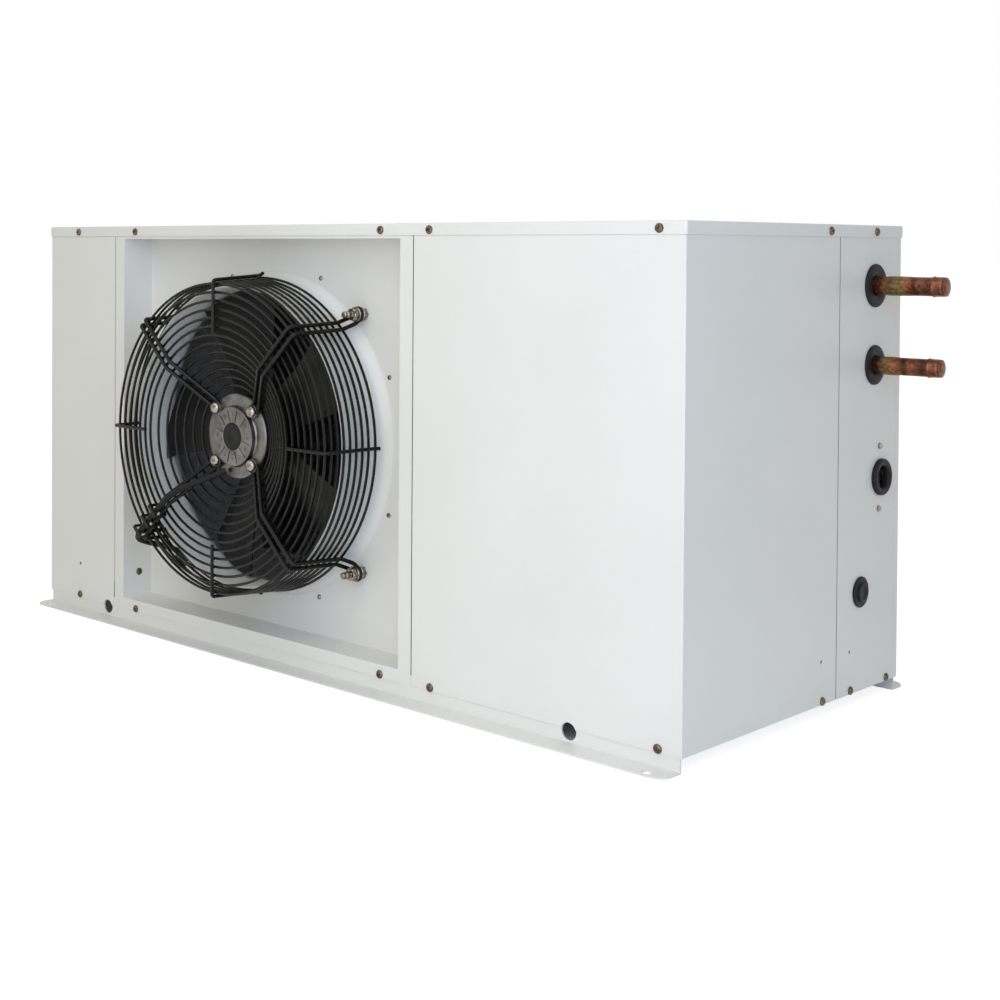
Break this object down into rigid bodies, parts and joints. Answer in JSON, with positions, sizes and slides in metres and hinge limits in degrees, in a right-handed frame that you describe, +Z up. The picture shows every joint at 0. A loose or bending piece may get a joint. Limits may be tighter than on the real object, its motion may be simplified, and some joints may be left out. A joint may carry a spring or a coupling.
{
  "type": "condensing unit",
  "caption": "Air-cooled condensing unit for refrigeration: white sheet-metal cabinet with a recessed guarded axial fan, capped copper pipe stubs and a base with bolt-down feet.",
  "frame": {"origin": "centre of the footprint on the floor, under the feet of the base rails", "axes": "+X to the right of someone facing the fan, +Y to the back, +Z up"},
  "size_m": [1.0728, 0.5222, 0.51],
  "materials": {
    "white_paint": "satin powder coat, fine orange peel",
    "galvanised": "dull zinc coat",
    "fin_aluminium": "thin plain fins",
    "copper": "oxidised copper",
    "black_wire": "gloss plastic coat on steel wire",
    "zinc_steel": "bright zinc",
    "yellow_zinc": "yellow zinc",
    "cast_aluminium": "as cast",
    "winding": "varnished windings",
    "black_steel": "satin black paint",
    "black_plastic": "matte black",
    "black_rubber": "plain black rubber",
    "brass": "machined brass",
    "glass": "clear"
  },
  "bodies": {
    "housing": {"lid": "white_paint", "front_rail": "white_paint", "rear_rail": "white_paint", "base_pan": "white_paint", "left_cover": "white_paint", "fan_panel": "white_paint", "nozzle_ring": "white_paint", "front_right_cover": "white_paint", "connection_panel": "white_paint", "rear_panel": "white_paint", "rear_header": "white_paint", "divider": "galvanised", "coil_end_plates": "galvanised", "receiver_stand": "galvanised", "compressor_base": "galvanised", "control_box": "galvanised", "control_cover": "galvanised", "coil_core": "fin_aluminium", "coil_bends": "copper", "suction_line": "copper", "liquid_line_lower": "copper", "liquid_line_upper": "copper", "discharge_line": "copper", "condensate_line": "copper", "suction_stub": "copper", "liquid_stub": "copper", "stub_caps": "copper", "guard_rings": "black_wire", "guard_arms": "black_wire", "guard_spokes": "black_wire", "guard_studs": "zinc_steel", "guard_nuts": "zinc_steel", "guard_washers": "zinc_steel", "motor_screws": "zinc_steel", "nozzle_screws": "zinc_steel", "sight_screws": "zinc_steel", "compressor_bolts": "zinc_steel", "motor_bearings": "zinc_steel", "cabinet_screws": "yellow_zinc", "motor_flange": "cast_aluminium", "motor_stator": "winding", "compressor_shell": "black_steel", "receiver": "black_steel", "filter_drier": "black_steel", "motor_cap": "black_plastic", "terminal_box": "black_plastic", "cable_ties": "black_plastic", "motor_cable": "black_rubber", "cable_grommet": "black_rubber", "compressor_mounts": "black_rubber", "suction_grommet": "black_rubber", "liquid_grommet": "black_rubber", "sight_grommet": "black_rubber", "blanking_plug": "black_rubber", "receiver_valve": "brass", "sight_glass": "brass", "sight_window": "glass"},
    "fan": {"rotor_can": "black_steel", "rotor_shaft": "zinc_steel", "fan_blades": "black_steel"}
  },
  "joints": [
    {"name": "fan_spin", "type": "hinge", "parent": "housing", "child": "fan", "pos_m": [-0.099, -0.19, 0.2612], "axis": [0, 1, 0], "continuous": true}
  ]
}
